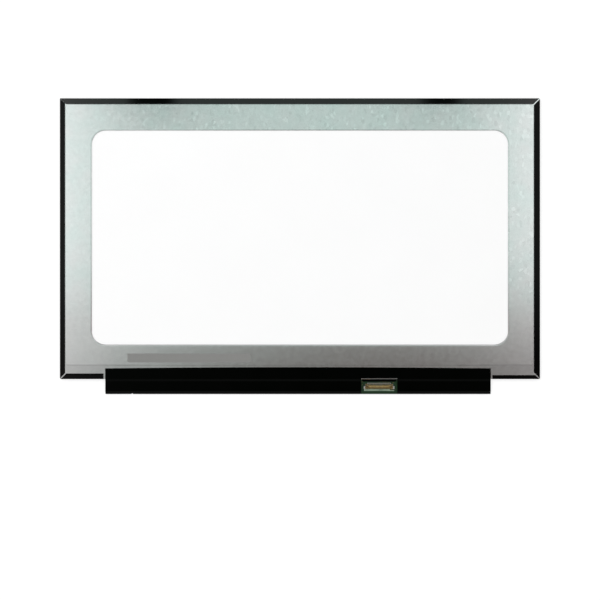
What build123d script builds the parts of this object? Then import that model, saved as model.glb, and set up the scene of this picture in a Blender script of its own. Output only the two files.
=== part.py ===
from build123d import *
import os

# Laptop screen panel: a 15.6 inch liquid crystal module without brackets, with an edge-lit backlight.
# It lies face down. z = 0 is the outer face of the front polarizer, +Z points out of the back,
# +Y points to the top edge of the picture, and the drive board stands out below the bottom edge.
# All sizes are in millimetres.

# Picture area, and the borders from it to the outline of the case
active_width = 344.16
active_height = 193.59
side_border = 3.25
top_border = 3.25
bottom_border = 8.26
board_overhang = 11.05

# Thicknesses of the layers, from front to back
front_polarizer_t = 0.20
colour_filter_t = 0.30
array_glass_t = 0.30
rear_polarizer_t = 0.15
cell_tape_t = 0.12
ledge_t = 0.38
prism_t = 0.14
diffuser_t = 0.10
light_guide_t = 0.60
reflector_t = 0.20
cover_t = 0.25
edge_tape_t = 0.08

# Clearances
fit_gap = 0.05
sheet_gap = 0.02
glass_gap = 0.20
guide_gap = 0.25
tape_gap = 0.18
mitre_gap = 0.70
closed_mitre_gap = 0.05

# Back cover: raised field, window and stamped details
field_rise = 0.12
field_slope = 0.12
field_clear = 0.25
field_corner = 2.00
film_zone_clear = 1.20
window_left = 23.34
window_right = 23.42
window_top = 23.52
window_bottom = 25.11
window_corner = 10.00
roll_outer_width = 0.35
roll_outer_drop = 0.010
roll_middle_width = 0.30
roll_middle_drop = 0.020
roll_inner_width = 0.35
roll_inner_drop = 0.085
corner_relief = 1.20

# Snap hooks of the frame in windows of the cover's walls
hook_length = 7.40
hook_height = 0.40
hook_reach = 0.23
hook_window_gap = 0.12
hook_setback = 0.75
side_hook_count = 3
side_hook_pitch = 62.00
top_hook_count = 5
top_hook_pitch = 72.00

# Moulded frame
frame_wall = 0.80
bottom_wall = 1.30
frame_lip = 0.70
lip_depth = 0.85
ledge_margin = 0.62
ledge_bottom_margin = 0.85

# Cell
array_ledge = 4.00
front_polarizer_margin = 1.32
rear_polarizer_margin = 0.32
cell_tape_inset = 0.15
cell_tape_clear = 0.12

# Optical sheets and their locating ears
sheet_inset = 0.20
ear_length = 9.00
ear_reach = 0.35
ear_clear = 0.15
ear_pitch = 110.00
guide_chamfer = 1.20

# Light bar
led_count = 48
led_length = 3.00
led_depth = 0.90
led_lens_depth = 0.20
led_lens_rim = 0.15
led_gap = 0.10
flex_t = 0.10
flex_width = 3.50
flex_gap = 0.40
flex_overlap = 0.80
tail_width = 14.00
tail_spacing = 9.00
tail_clear = 0.40
tail_straight = 0.55
tail_run = 1.70
tail_pad = 2.20
bar_tape_inset = 0.20

# Edge tapes, measured on the back from the outline of the case
tape_left_width = 3.80
tape_right_width = 4.50
tape_top_width = 4.34
tape_bottom_left_width = 4.10
tape_bottom_right_width = 2.90
tape_bottom_fold = 1.55
tape_film_gap = 1.15

# Drive board, driver films and the tape over them
board_t = 0.60
board_left = 33.39
board_right = 36.27
board_gap = 0.40
board_corner = 0.50
nick_from_left = 19.20
nick_radius = 0.55
driver_count = 4
driver_film_t = 0.06
driver_film_width = 38.00
driver_film_taper = 2.00
driver_pitch = 70.25
bond_width = 1.60
driver_chip_length = 18.00
driver_chip_width = 1.00
driver_chip_t = 0.28
driver_chip_clear = 0.90
driver_chip_headroom = 0.12
shield_tape_t = 0.08
shield_tape_inset = 1.00
shield_tape_reach = 5.60

# Film over the board
film_t = 0.10
film_overhang = 0.36
film_overlap = 8.70
film_bow = 0.85
film_slope = 1.60
film_foot = 0.90
film_foot_slope = 0.90
film_clear = 0.15
notch_clear = 2.55
notch_setback = 0.50

# Chips and small parts on the board
controller_size = 6.00
controller_t = 0.85
controller_spacing = 35.00
power_chip_size = 5.00
power_chip_t = 0.80
power_chip_from_left = 62.00
led_driver_size = 4.00
led_driver_t = 0.75
led_driver_spacing = 8.00
flash_length = 3.00
flash_width = 2.00
flash_t = 0.60
flash_gap = 0.80
pin_one_radius = 0.25
pin_one_inset = 0.70
pin_one_depth = 0.06
inductor_size = 3.00
inductor_t = 0.95
inductor_corner = 0.60
inductor_gap = 1.20
capacitor_length = 1.00
capacitor_width = 0.50
capacitor_t = 0.50
capacitor_gap = 0.70
resistor_length = 1.00
resistor_width = 0.50
resistor_t = 0.35
resistor_gap = 0.60
end_cap = 0.22
end_cap_rise = 0.02
column_count = 4
column_pitch = 1.20

# Connector: contacts, from the centre of the row
contact_count = 30
contact_pitch = 0.50
contact_width = 0.22
contact_t = 0.12
contact_clear = 0.02
contact_start = 0.55
contact_drop_gap = 0.02
contact_foot = 0.78

# Connector: stamped shell, depths measured back from its front edge
connector_from_right = 81.16
connector_apron = 3.88
shell_t = 0.12
shell_height = 1.00
shell_lip_drop = 0.20
shell_lip_depth = 1.12
shell_step_rise = 0.06
shell_step_run = 0.08
shell_step_tread = 0.16
shell_ridge_run = 0.16
shell_ridge_top = 0.17
shell_ridge_rise = 0.06
shell_depth = 2.90
shell_end_margin = 0.69
block_width = 1.69
block_depth = 3.56
block_rear_width = 1.71
block_chamfer_x = 0.28
block_chamfer_y = 0.38
slit_depth = 1.53
slit_width = 0.14
slit_reach = 0.22
front_shoulder = 0.38
rear_shoulder = 0.28
shoulder_split = 2.62
shoulder_slot = 0.16
shoulder_fold = 0.50
tab_reach = 1.07
tab_corner = 0.25
front_tab_inset = 0.17
front_tab_width = 0.64
lance_inset = 0.28
lance_width = 0.73
lance_front = 2.15
lance_back = 2.96
lance_slit = 0.10
lance_slit_depth = 0.20
key_slot_width = 0.30
key_slot_front = 0.91
key_slot_back = 1.71
dimple_inset = 0.37
dimple_from_front = 0.43
dimple_radius = 0.19
dimple_depth = 0.05
rear_notch_near = 4.23
rear_notch_far = 5.74
rear_notch_depth = 0.13
centre_cut_inner = 2.36
centre_cut_outer = 2.54
centre_cut_depth = 0.32
spring_hole_pitch = 2.50
spring_hole_length = 0.36
spring_hole_width = 0.20
pilot_hole_offset = 0.55
pilot_hole_radius = 0.07

# Connector: moulded housing
housing_front = 0.12
housing_base = 0.30
housing_back = 3.14
housing_rear_wall = 0.52
housing_end_front = 2.00
housing_end_back = 3.70
housing_ear = 0.77
housing_ear_t = 0.45

# Insulating tape on the board behind the contacts
connector_tape_t = 0.06
connector_tape_gap = 1.10
connector_tape_reach = 1.65
connector_tape_margin = 0.05

# Outline of the case and of the whole panel
case_width = active_width + 2 * side_border
case_height = active_height + top_border + bottom_border
panel_height = case_height + board_overhang
half_width = case_width / 2
y_top = panel_height / 2
y_board_bottom = -panel_height / 2
y_case = y_board_bottom + board_overhang

# Picture area
active_half = active_width / 2
y_active_top = y_top - top_border
y_active_bottom = y_active_top - active_height

# Levels, from front to back
z_glass = front_polarizer_t
z_array = z_glass + colour_filter_t
z_array_back = z_array + array_glass_t
z_ledge = z_array_back + cell_tape_t
z_sheets = z_ledge + ledge_t
z_lower_prism = z_sheets + prism_t
z_diffuser = z_lower_prism + prism_t
z_guide = z_diffuser + diffuser_t
z_guide_back = z_guide + light_guide_t
z_reflector_back = z_guide_back + reflector_t
z_rim_inner = z_reflector_back + sheet_gap
z_rim = z_rim_inner + cover_t
z_field = z_rim + field_rise
z_shoulder = z_glass + lip_depth
z_wall_end = z_shoulder + fit_gap
z_bottom_lip = z_array + sheet_gap
z_tape_front = z_glass - edge_tape_t
z_tape_back = z_rim + edge_tape_t
z_board_front = z_array
z_board = z_board_front + board_t

# Limits of the nested layers, as (left, right) and (bottom, top)
case_x = (-half_width + edge_tape_t, half_width - edge_tape_t)
case_y = (y_case + edge_tape_t, y_top - edge_tape_t)


def inset(limits, low, high=None):
    """Limits moved inwards by low at the lower end and by high, or else low, at the upper end."""
    return (limits[0] + low, limits[1] - (low if high is None else high))


wall_x = inset(case_x, cover_t)
wall_y = inset(case_y, cover_t)
frame_x = inset(wall_x, fit_gap)
frame_y = inset(wall_y, fit_gap)
cavity_x = inset(frame_x, frame_wall)
cavity_y = inset(frame_y, bottom_wall, frame_wall)
glass_x = inset(case_x, frame_lip + glass_gap)
array_y = (cavity_y[0] + glass_gap, case_y[1] - frame_lip - glass_gap)
colour_filter_y = (array_y[0] + array_ledge, array_y[1])
active_x = (-active_half, active_half)
active_y = (y_active_bottom, y_active_top)
opening_x = inset(active_x, -ledge_margin)
opening_y = inset(active_y, -ledge_bottom_margin, -ledge_margin)
front_polarizer_x = inset(active_x, -front_polarizer_margin)
front_polarizer_y = inset(active_y, -front_polarizer_margin)
flex_y = (cavity_y[0] + flex_gap, cavity_y[0] + flex_gap + flex_width)
led_front = flex_y[1] - flex_overlap - led_gap
guide_x = inset(cavity_x, guide_gap)
guide_y = (led_front + led_gap, cavity_y[1] - guide_gap)
sheet_x = inset(guide_x, sheet_inset)
sheet_y = inset(guide_y, flex_overlap, sheet_inset)
reflector_y = (flex_y[1] + sheet_inset, guide_y[1])
window_x = (-half_width + window_left, half_width - window_right)
window_y = (y_case + window_bottom, y_top - window_top)
field_x = inset((-half_width, half_width), tape_left_width + field_clear, tape_right_width + field_clear)
field_y = (y_case + film_overlap + film_zone_clear, y_top - tape_top_width - field_clear)
board_x = (-half_width + board_left, half_width - board_right)
board_y = (y_board_bottom, y_case - board_gap)
board_centre = sum(board_x) / 2
film_x = inset(board_x, -film_overhang)
parts_y = (board_y[0] + film_foot + film_foot_slope + board_y[1]) / 2

# Connector frame: centre of the contact row and front edge of the shell, on the board's back
connector_x = board_x[1] - connector_from_right
connector_y = board_y[0] + connector_apron
connector_place = Pos(connector_x, connector_y, z_board)
contact_span = (contact_count - 1) * contact_pitch
step_half = contact_span / 2 + shell_end_margin
body_half = step_half + block_width
tab_half = body_half + tab_reach
shell_lip_z = shell_height - shell_lip_drop - shell_t
contact_drop = housing_back + contact_drop_gap
contact_end = contact_drop + contact_t + contact_foot
notch_x = (connector_x - tab_half - notch_clear, connector_x + tab_half + notch_clear)


# Places along the board: power chip, LED driver and flex tail from the left, controller beside the connector
capacitor_offset = capacitor_gap + capacitor_length / 2
resistor_offset = capacitor_gap + capacitor_length + resistor_gap + resistor_length / 2
columns_reach = resistor_offset + resistor_length / 2
inductor_offset = columns_reach + inductor_gap + inductor_size / 2
power_chip_x = board_x[0] + power_chip_from_left
power_inductor_x = power_chip_x + power_chip_size / 2 + inductor_offset
led_driver_x = power_inductor_x + inductor_size / 2 + led_driver_spacing + led_driver_size / 2
led_inductor_x = led_driver_x + led_driver_size / 2 + inductor_offset
tail_left = led_inductor_x + inductor_size / 2 + tail_spacing
tail_limits = (tail_left, tail_left + tail_width)
tail_slot = inset(tail_limits, -tail_clear)
controller_x = connector_x - controller_spacing
flash_x = controller_x + controller_size / 2 + columns_reach + flash_gap + flash_length / 2


def rectangle(x_limits, y_limits, radius=0.0):
    """A flat rectangle between limits, with rounded corners where a radius is given."""
    width = x_limits[1] - x_limits[0]
    height = y_limits[1] - y_limits[0]
    outline = RectangleRounded(width, height, radius) if radius else Rectangle(width, height)
    return Pos(sum(x_limits) / 2, sum(y_limits) / 2) * outline


def plate(x_limits, y_limits, z_limits, radius=0.0):
    """A flat sheet between limits."""
    return extrude(Pos(0, 0, z_limits[0]) * rectangle(x_limits, y_limits, radius), z_limits[1] - z_limits[0])


def prism(points, z_limits):
    """A plan outline of corner points, between two levels."""
    outline = make_face(Polyline(*points, close=True))
    return extrude(Pos(0, 0, z_limits[0]) * outline, z_limits[1] - z_limits[0])


def run_along_x(points, x_limits):
    """A section of (y, z) corner points, carried along X."""
    section = Plane(origin=(x_limits[0], 0, 0), x_dir=(0, 1, 0), z_dir=(1, 0, 0))
    return extrude(section * make_face(Polyline(*points, close=True)), x_limits[1] - x_limits[0])


def run_along_y(points, y_limits):
    """A section of (x, z) corner points, carried along Y."""
    section = Plane(origin=(0, y_limits[1], 0), x_dir=(1, 0, 0), z_dir=(0, -1, 0))
    return extrude(section * make_face(Polyline(*points, close=True)), y_limits[1] - y_limits[0])


def bent_sheet(line, thickness):
    """The section of a thin sheet above a line of (along, height) points."""
    return line + [(along, height + thickness) for along, height in reversed(line)]


def row(count, pitch):
    """Places of a centred row."""
    return [(number - (count - 1) / 2) * pitch for number in range(count)]


def group(solids):
    """Separate solids that share one name."""
    return Compound(children=[solid for shape in solids for solid in shape.solids()])


# Cell: two glasses between two polarizers, on a foam tape
def make_front_polarizer():
    return plate(front_polarizer_x, front_polarizer_y, (0, z_glass))


def make_colour_filter_glass():
    return plate(glass_x, colour_filter_y, (z_glass, z_array))


def make_array_glass():
    return plate(glass_x, array_y, (z_array, z_array_back))


def make_rear_polarizer():
    x_limits = inset(active_x, -rear_polarizer_margin)
    y_limits = inset(active_y, -rear_polarizer_margin)
    return plate(x_limits, y_limits, (z_array_back, z_array_back + rear_polarizer_t))


def make_cell_tape():
    outer = rectangle(inset(glass_x, cell_tape_inset), inset(array_y, cell_tape_inset))
    hole = rectangle(inset(opening_x, -cell_tape_clear), inset(opening_y, -cell_tape_clear))
    return extrude(Pos(0, 0, z_array_back) * (outer - hole), cell_tape_t)


# Optical sheets, light guide and reflector
def sheet_outline(clear=0.0):
    """Outline of an optical sheet with two locating ears on each short side."""
    outline = rectangle(inset(sheet_x, -clear), inset(sheet_y, -clear))
    ear_y = sum(sheet_y) / 2
    ear_x = inset(sheet_x, -ear_reach - clear)
    for offset in row(2, ear_pitch):
        reach = ear_length / 2 + clear
        outline += rectangle(ear_x, (ear_y + offset - reach, ear_y + offset + reach))
    return outline


def make_sheet(z_front, thickness):
    return extrude(Pos(0, 0, z_front) * sheet_outline(), thickness)


def make_light_guide_plate():
    guide = plate(guide_x, guide_y, (z_guide, z_guide_back))
    entry_corners = guide.edges().filter_by(Axis.Z).group_by(Axis.Y)[0]
    return chamfer(entry_corners, guide_chamfer)


def make_reflector_sheet():
    return plate(guide_x, reflector_y, (z_guide_back, z_reflector_back))


# Light bar: side-view LEDs on a flex strip, taped to the back cover
def make_leds():
    lens_z = (z_guide + led_lens_rim, z_guide_back - led_lens_rim)
    pitch = (guide_x[1] - guide_x[0] - 2 * guide_chamfer) / led_count
    led_x = (-led_length / 2, led_length / 2)
    package = plate(led_x, (led_front - led_depth, led_front), (z_guide, z_guide_back))
    package -= plate(inset(led_x, led_lens_rim), (led_front - led_lens_depth, led_front), lens_z)
    return group([Pos(x, 0, 0) * package for x in row(led_count, pitch)])


def make_led_flex():
    strip = plate(guide_x, flex_y, (z_guide_back, z_guide_back + flex_t))
    y_bend = y_case - tail_straight
    y_land = y_bend - tail_run
    line = [
        (y_land - tail_pad, z_board),
        (y_land, z_board),
        (y_bend, z_guide_back),
        (flex_y[0] + flex_width / 2, z_guide_back),
    ]
    return strip + run_along_x(bent_sheet(line, flex_t), tail_limits)


def make_led_bar_tape():
    z_limits = (z_guide_back + flex_t, z_rim_inner)
    return plate(inset(guide_x, bar_tape_inset), inset(flex_y, bar_tape_inset), z_limits)


# Moulded frame and back cover, with hooks that snap into windows
def hooks(length, height, reach):
    """Prisms at the hook places of the left, right and top walls, reaching out from the frame's wall."""
    z_limits = (z_rim_inner - hook_setback - height / 2, z_rim_inner - hook_setback + height / 2)
    side_y = sum(frame_y) / 2
    places = []
    for offset in row(side_hook_count, side_hook_pitch):
        y_limits = (side_y + offset - length / 2, side_y + offset + length / 2)
        places.append(plate((frame_x[0] - reach, frame_x[0]), y_limits, z_limits))
        places.append(plate((frame_x[1], frame_x[1] + reach), y_limits, z_limits))
    for x in row(top_hook_count, top_hook_pitch):
        x_limits = (x - length / 2, x + length / 2)
        places.append(plate(x_limits, (frame_y[1], frame_y[1] + reach), z_limits))
    return places


def driver_places():
    return [board_centre + x for x in row(driver_count, driver_pitch)]


def make_mold_frame():
    frame = plate(case_x, case_y, (z_glass, z_shoulder))
    frame += plate(frame_x, frame_y, (z_shoulder, z_rim_inner))
    frame += hooks(hook_length, hook_height, hook_reach)
    # pocket for the cell, opening in the ledge, pocket for the sheets and the light guide
    frame -= plate(inset(case_x, frame_lip), (cavity_y[0], case_y[1] - frame_lip), (z_glass, z_ledge))
    frame -= plate(opening_x, opening_y, (z_ledge, z_sheets))
    frame -= plate(cavity_x, cavity_y, (z_sheets, z_rim_inner))
    frame -= extrude(Pos(0, 0, z_sheets) * sheet_outline(ear_clear), z_guide - z_sheets)
    # low front of the bottom wall, with recesses for the driver chips and a slot for the flex tail
    frame -= plate(case_x, (case_y[0], cavity_y[0]), (z_glass, z_bottom_lip))
    recess_z = (z_bottom_lip, z_array + driver_chip_t + driver_chip_headroom)
    recess_half = driver_chip_length / 2 + driver_chip_clear
    for x in driver_places():
        frame -= plate((x - recess_half, x + recess_half), (case_y[0], cavity_y[0]), recess_z)
    frame -= plate(tail_slot, (frame_y[0], cavity_y[0]), (z_guide_back - tail_clear, z_rim_inner))
    return frame


def field_solid(z_low, x_limits, y_limits):
    """The raised field above z_low, with its sloped edge."""
    base = Pos(0, 0, z_low) * rectangle(x_limits, y_limits, field_corner)
    crown = rectangle(inset(x_limits, field_slope), inset(y_limits, field_slope), field_corner - field_slope)
    return loft([base, Pos(0, 0, z_low + field_rise) * crown], ruled=True)


def window_outline(growth, drop):
    """The window's outline grown by a width, at a drop below the raised field."""
    outline = rectangle(inset(window_x, -growth), inset(window_y, -growth), window_corner + growth)
    return Pos(0, 0, z_field - drop) * outline


def window_solid():
    """The window's opening, with an edge that rolls down in three slopes."""
    growth = 0
    drop = roll_outer_drop + roll_middle_drop + roll_inner_drop
    opening = plate(window_x, window_y, (z_rim_inner, z_field - drop), window_corner)
    slopes = (
        (roll_inner_width, roll_inner_drop),
        (roll_middle_width, roll_middle_drop),
        (roll_outer_width, roll_outer_drop),
    )
    for width, fall in slopes:
        foot = window_outline(growth, drop)
        growth += width
        drop -= fall
        opening += loft([foot, window_outline(growth, drop)], ruled=True)
    return opening


def make_back_cover():
    cover = plate(case_x, case_y, (z_wall_end, z_rim)) + field_solid(z_rim, field_x, field_y)
    cover -= plate(wall_x, wall_y, (z_wall_end, z_rim_inner))
    cover -= field_solid(z_rim_inner, field_x, field_y)
    cover -= window_solid()
    # windows for the frame's hooks, reliefs at the folded corners, notch for the flex tail
    hook_play = 2 * hook_window_gap
    cover -= hooks(hook_length + hook_play, hook_height + hook_play, cover_t + 2 * fit_gap)
    for x in (case_x[0], case_x[1] - corner_relief):
        for y in (case_y[0], case_y[1] - corner_relief):
            cover -= plate((x, x + corner_relief), (y, y + corner_relief), (z_wall_end, z_rim_inner))
    cover -= plate(tail_slot, (case_y[0], wall_y[0]), (z_wall_end, z_guide_back + flex_t + fit_gap))
    return cover


# Edge tapes: thin strips folded round the case, mitred where they meet
def fold_section(edge, side, back_reach, front_reach, z_front):
    """Section of a folded tape with its outer face at edge. side is +1 where the case lies above edge."""
    outer = edge
    inner = edge + side * edge_tape_t
    back = edge + side * back_reach
    front = edge + side * front_reach
    return [
        (outer, z_front),
        (front, z_front),
        (front, z_front + edge_tape_t),
        (inner, z_front + edge_tape_t),
        (inner, z_rim),
        (back, z_rim),
        (back, z_tape_back),
        (outer, z_tape_back),
    ]


side_fold = side_border - front_polarizer_margin - tape_gap
top_fold = top_border - front_polarizer_margin - tape_gap


def corner_wedge(x_side, y_side, gap, along_x):
    """The 45 degree area at a corner of the outline that belongs to the tape along the other edge."""
    corner = (-x_side * half_width, y_case if y_side > 0 else y_top)
    shift = gap / 2 ** 0.5
    reach = 2 * max(tape_left_width, tape_right_width, tape_top_width, tape_bottom_left_width)
    if along_x:
        points = [
            (corner[0] - x_side * reach, corner[1] - y_side * (reach + shift)),
            (corner[0] + x_side * (reach + shift), corner[1] + y_side * reach),
            (corner[0] - x_side * reach, corner[1] + y_side * reach),
        ]
    else:
        points = [
            (corner[0] - x_side * (reach + shift), corner[1] - y_side * reach),
            (corner[0] + x_side * reach, corner[1] + y_side * (reach + shift)),
            (corner[0] + x_side * reach, corner[1] - y_side * reach),
        ]
    return prism(points, (0, z_field))


def make_tape_top():
    section = fold_section(y_top, -1, tape_top_width, top_fold, z_tape_front)
    tape = run_along_x(section, (-half_width, half_width))
    return tape - corner_wedge(1, -1, closed_mitre_gap, True) - corner_wedge(-1, -1, mitre_gap, True)


def make_tape_left():
    section = fold_section(-half_width, 1, tape_left_width, side_fold, z_tape_front)
    tape = run_along_y(section, (y_case, y_top))
    return tape - corner_wedge(1, -1, closed_mitre_gap, False) - corner_wedge(1, 1, mitre_gap, False)


def make_tape_right():
    section = fold_section(half_width, -1, tape_right_width, side_fold, z_tape_front)
    tape = run_along_y(section, (y_case, y_top))
    return tape - corner_wedge(-1, -1, mitre_gap, False) - corner_wedge(-1, 1, mitre_gap, False)


def make_tape_bottom_left():
    section = fold_section(y_case, 1, tape_bottom_left_width, tape_bottom_fold, z_bottom_lip - edge_tape_t)
    tape = run_along_x(section, (-half_width, film_x[0] - tape_film_gap))
    return tape - corner_wedge(1, 1, mitre_gap, True)


def make_tape_bottom_right():
    section = fold_section(y_case, 1, tape_bottom_right_width, tape_bottom_fold, z_bottom_lip - edge_tape_t)
    tape = run_along_x(section, (film_x[1] + tape_film_gap, half_width))
    return tape - corner_wedge(-1, 1, mitre_gap, True)


# Drive board with its driver films, chips and small parts
driver_film_y = (board_y[1] - bond_width, array_y[0] + bond_width)


def make_driver_films():
    far_half = driver_film_width / 2
    near_half = far_half - driver_film_taper
    film = prism(
        [
            (-near_half, driver_film_y[0]),
            (near_half, driver_film_y[0]),
            (far_half, array_y[0]),
            (far_half, driver_film_y[1]),
            (-far_half, driver_film_y[1]),
            (-far_half, array_y[0]),
        ],
        (z_array - driver_film_t, z_array),
    )
    return group([Pos(x, 0, 0) * film for x in driver_places()])


def make_driver_chips():
    y_middle = (case_y[0] + cavity_y[0]) / 2
    chip = plate(
        (-driver_chip_length / 2, driver_chip_length / 2),
        (y_middle - driver_chip_width / 2, y_middle + driver_chip_width / 2),
        (z_array, z_array + driver_chip_t),
    )
    return group([Pos(x, 0, 0) * chip for x in driver_places()])


def make_front_shield_tape():
    wide = rectangle(inset(glass_x, shield_tape_inset), (array_y[0], colour_filter_y[0] - glass_gap))
    narrow = rectangle(inset(board_x, shield_tape_inset), (board_y[1] - shield_tape_reach, array_y[0]))
    z_front = z_array - driver_film_t - shield_tape_t
    return extrude(Pos(0, 0, z_front) * (wide + narrow), shield_tape_t)


def edge_nick():
    """Round nick left by a break-off tab in the board's bottom edge."""
    return Pos(board_x[0] + nick_from_left, board_y[0]) * Circle(nick_radius)


def make_control_board():
    outline = rectangle(board_x, board_y, board_corner) - edge_nick()
    return extrude(Pos(0, 0, z_board_front) * outline, board_t)


def make_chip(x, length, width, thickness):
    """A flat chip with a round mark recessed at its first pin."""
    x_limits = (x - length / 2, x + length / 2)
    y_limits = (parts_y - width / 2, parts_y + width / 2)
    chip = plate(x_limits, y_limits, (z_board, z_board + thickness))
    mark = Pos(x_limits[0] + pin_one_inset, y_limits[1] - pin_one_inset, z_board + thickness)
    return chip - mark * Cylinder(pin_one_radius, 2 * pin_one_depth)


def make_inductors():
    half = inductor_size / 2
    places = [
        power_chip_x - power_chip_size / 2 - inductor_offset,
        power_inductor_x,
        led_inductor_x,
    ]
    z_limits = (z_board, z_board + inductor_t)
    coil = plate((-half, half), (parts_y - half, parts_y + half), z_limits, inductor_corner)
    return group([Pos(x, 0, 0) * coil for x in places])


def chip_columns(offset):
    """Places of the columns of small parts on both sides of each chip."""
    places = []
    chips = (
        (controller_x, controller_size),
        (power_chip_x, power_chip_size),
        (led_driver_x, led_driver_size),
    )
    for x, size in chips:
        for side in (-1, 1):
            for y in row(column_count, column_pitch):
                places.append(Pos(x + side * (size / 2 + offset), parts_y + y, z_board))
    return places


def make_small_parts(offset, length, width, thickness):
    """Columns of soldered two-ended parts, each with its raised end caps."""
    body = plate((-length / 2, length / 2), (-width / 2, width / 2), (0, thickness - end_cap_rise))
    for side in (-1, 1):
        near = side * (length / 2 - end_cap)
        far = side * length / 2
        body += plate((min(near, far), max(near, far)), (-width / 2, width / 2), (0, thickness))
    return group([place * body for place in chip_columns(offset)])


# Film over the board, from the back cover's bottom zone down to the board's edge
def make_board_cover_film():
    y_film_top = y_case + film_overlap
    z_under = z_board + max(controller_t, power_chip_t, led_driver_t, inductor_t) + film_clear
    line = [
        (board_y[0], z_board),
        (board_y[0] + film_foot, z_board),
        (board_y[0] + film_foot + film_foot_slope, z_under),
        (y_case - film_slope, z_under),
        (y_case, z_rim),
        (y_film_top, z_rim),
    ]
    film = run_along_x(bent_sheet(line, film_t), film_x)
    top_left = (film_x[0], y_film_top - film_bow)
    top_right = (film_x[1], y_film_top - film_bow)
    outline = make_face(
        ThreePointArc(top_left, (board_centre, y_film_top), top_right)
        + Polyline(top_right, (film_x[1], board_y[0]), (film_x[0], board_y[0]), top_left)
    )
    outline -= rectangle(notch_x, (board_y[0], y_case + notch_setback))
    outline -= edge_nick()
    return film & extrude(outline, z_rim + film_t)


# Connector, in its own frame: X along the row, Y back from the front edge, Z up from the board
def shell_line():
    """Section line under the shell's middle: front lip, two small steps, one ridge, flat rear."""
    level = shell_lip_z
    depth = shell_lip_depth
    line = [(0, level), (depth, level)]
    for _ in range(2):
        depth += shell_step_run
        level += shell_step_rise
        line.append((depth, level))
        depth += shell_step_tread
        line.append((depth, level))
    rear_level = shell_height - shell_t
    line.append((depth + shell_ridge_run, rear_level + shell_ridge_rise))
    line.append((depth + shell_ridge_run + shell_ridge_top, rear_level + shell_ridge_rise))
    line.append((depth + 2 * shell_ridge_run + shell_ridge_top, rear_level))
    line.append((shell_depth, rear_level))
    return line


def shell_block():
    """Right end block: top plate with its shoulders, folded walls, solder tab and stamped details."""
    top = (shell_height - shell_t, shell_height)
    inner = step_half - shell_t
    front_out = body_half + front_shoulder
    rear_out = body_half + rear_shoulder
    rear_in = rear_out - block_rear_width
    block = prism(
        [
            (inner, 0),
            (body_half, 0),
            (body_half, slit_depth),
            (front_out, slit_depth),
            (front_out, shoulder_split),
            (rear_out, shoulder_split),
            (rear_out, block_depth),
            (rear_in, block_depth),
            (rear_in - block_chamfer_x, block_depth - block_chamfer_y),
            (inner, shell_depth),
        ],
        top,
    )
    # inner step wall, outer wall with its solder tab, folded shoulders, tab at the front edge
    block += plate((inner, step_half), (0, shell_lip_depth), (shell_lip_z, shell_height))
    block += plate((body_half - shell_t, body_half), (0, slit_depth), (0, shell_height))
    tab = plate((body_half - shell_t, tab_half), (0, slit_depth), (0, shell_t))
    tab_corners = tab.edges().filter_by(Axis.Z).group_by(Axis.X)[-1]
    block += fillet(tab_corners, tab_corner)
    fold = (shoulder_fold, shell_height)
    block += plate((front_out - shell_t, front_out), (slit_depth, shoulder_split), fold)
    block += plate((rear_out - shell_t, rear_out), (shoulder_split, block_depth), fold)
    front_tab = (body_half - front_tab_inset - front_tab_width, body_half - front_tab_inset)
    block += plate(front_tab, (-shell_t, 0), (shell_t, shell_height))
    # slits beside the shoulders, lance window, dimple
    block -= plate((body_half - slit_reach, front_out), (slit_depth, slit_depth + slit_width), fold)
    slot_low = shoulder_split - shoulder_slot / 2
    block -= plate((body_half, front_out), (slot_low, slot_low + shoulder_slot), fold)
    lance = (step_half + lance_inset, step_half + lance_inset + lance_width)
    block -= plate(lance, (lance_front, lance_back), top)
    for x in (lance[0], lance[1] - lance_slit):
        block -= plate((x, x + lance_slit), (lance_front - lance_slit_depth, lance_front), top)
    dimple = Pos(step_half + dimple_inset, dimple_from_front, shell_height)
    return block - dimple * Cylinder(dimple_radius, 2 * dimple_depth)


def make_connector_shell():
    shell = run_along_x(bent_sheet(shell_line(), shell_t), (-step_half, step_half))
    right = shell_block()
    shell += right + mirror(right, Plane.YZ)
    through = (0, shell_height + 2 * shell_ridge_rise)
    key_slot_x = (step_half - shell_t - key_slot_width, step_half - shell_t)
    key_slot = plate(key_slot_x, (key_slot_front, key_slot_back), through)
    rear_notch_y = (shell_depth - rear_notch_depth, shell_depth)
    rear_notch = plate((rear_notch_near, rear_notch_far), rear_notch_y, through)
    shell -= [key_slot, mirror(key_slot, Plane.YZ), rear_notch, mirror(rear_notch, Plane.YZ)]
    cut_front = shell_depth - centre_cut_depth
    shell -= prism(
        [
            (-centre_cut_inner, cut_front),
            (centre_cut_inner, cut_front),
            (centre_cut_outer, shell_depth),
            (-centre_cut_outer, shell_depth),
        ],
        through,
    )
    hole_y = shell_lip_depth + shell_step_run + shell_step_tread
    for x in (-2 * spring_hole_pitch, -spring_hole_pitch, spring_hole_pitch, 2 * spring_hole_pitch):
        holes = Pos(x, hole_y) * SlotOverall(spring_hole_length, spring_hole_width)
        for offset in (-pilot_hole_offset, pilot_hole_offset):
            holes += Pos(x + offset, hole_y) * Circle(pilot_hole_radius)
        shell -= extrude(holes, through[1])
    return connector_place * shell


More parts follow.
